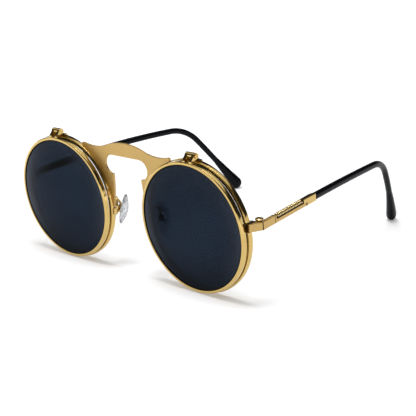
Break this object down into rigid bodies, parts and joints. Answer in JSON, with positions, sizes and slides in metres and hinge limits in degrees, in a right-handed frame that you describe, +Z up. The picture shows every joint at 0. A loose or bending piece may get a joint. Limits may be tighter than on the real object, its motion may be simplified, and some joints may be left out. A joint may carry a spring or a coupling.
{
  "type": "flip up sunglasses",
  "caption": "Round metal sunglasses with clear lenses, hinged tinted lenses that flip up, spring set temples and clear nose pads",
  "frame": {"origin": "on the table, centred under the bounding box, in the plane that mirrors the two halves", "axes": "+X to the wearer's left, +Y from the front back along the temples, +Z up"},
  "size_m": [0.136, 0.1262, 0.0574],
  "materials": {
    "satin_gold": "satin plated, fine brushed",
    "polished_gold": "polished plated",
    "aged_gold": "polished plated, darkened round the joints",
    "dark_gold": "darkened, unpolished",
    "spring_gold": "bright drawn wire",
    "dark_steel": "plain wire",
    "clear_lens": "polished",
    "dark_lens": "polished, tinted",
    "black_sleeve": "glossy moulded",
    "silicone": "soft clear silicone"
  },
  "bodies": {
    "front": {"bridge_plate": "satin_gold", "rear_rim_left": "polished_gold", "rear_rim_right": "polished_gold", "clear_lens_left": "clear_lens", "clear_lens_right": "clear_lens", "flip_hinge_base_left": "aged_gold", "flip_hinge_base_right": "aged_gold", "flip_stop_left": "aged_gold", "flip_stop_right": "aged_gold", "end_piece_left": "satin_gold", "end_piece_right": "satin_gold", "rim_lock_left": "dark_gold", "rim_lock_right": "dark_gold", "lock_screw_left": "dark_gold", "lock_screw_right": "dark_gold", "hinge_screw_left": "aged_gold", "hinge_screw_right": "aged_gold", "pad_arm_left": "polished_gold", "pad_arm_right": "polished_gold"},
    "flip_left": {"flip_rim_left": "polished_gold", "dark_lens_left": "dark_lens", "flip_hinge_yoke_left": "aged_gold", "flip_screw_left": "aged_gold"},
    "flip_right": {"flip_rim_right": "polished_gold", "dark_lens_right": "dark_lens", "flip_hinge_yoke_right": "aged_gold", "flip_screw_right": "aged_gold"},
    "temple_left": {"temple_bar_left": "satin_gold", "spring_left": "spring_gold", "spring_rod_left": "dark_steel", "ferrule_left": "polished_gold", "core_wire_left": "dark_steel", "sleeve_left": "black_sleeve"},
    "temple_right": {"temple_bar_right": "satin_gold", "spring_right": "spring_gold", "spring_rod_right": "dark_steel", "ferrule_right": "polished_gold", "core_wire_right": "dark_steel", "sleeve_right": "black_sleeve"},
    "pad_left": {"nose_pad_left": "silicone", "pad_box_left": "polished_gold", "pad_screw_left": "polished_gold"},
    "pad_right": {"nose_pad_right": "silicone", "pad_box_right": "polished_gold", "pad_screw_right": "polished_gold"}
  },
  "joints": [
    {"name": "flip_hinge_left", "type": "hinge", "parent": "front", "child": "flip_left", "pos_m": [0.039, -0.05998, 0.05614], "axis": [-1, 0, 0], "range_deg": [0, 100]},
    {"name": "flip_hinge_right", "type": "hinge", "parent": "front", "child": "flip_right", "pos_m": [-0.039, -0.05998, 0.05614], "axis": [-1, 0, 0], "range_deg": [0, 100]},
    {"name": "temple_hinge_left", "type": "hinge", "parent": "front", "child": "temple_left", "pos_m": [0.0656, -0.05317, 0.03169], "axis": [0, 0, 1], "range_deg": [0, 80]},
    {"name": "temple_hinge_right", "type": "hinge", "parent": "front", "child": "temple_right", "pos_m": [-0.0656, -0.05317, 0.03169], "axis": [0, 0, -1], "range_deg": [0, 70]},
    {"name": "pad_hinge_left", "type": "hinge", "parent": "front", "child": "pad_left", "pos_m": [0.01229, -0.05217, 0.02461], "axis": [0.5299, 0.848, 0], "range_deg": [-8, 8]},
    {"name": "pad_hinge_right", "type": "hinge", "parent": "front", "child": "pad_right", "pos_m": [-0.01229, -0.05217, 0.02461], "axis": [-0.5299, 0.848, 0], "range_deg": [-8, 8]}
  ]
}
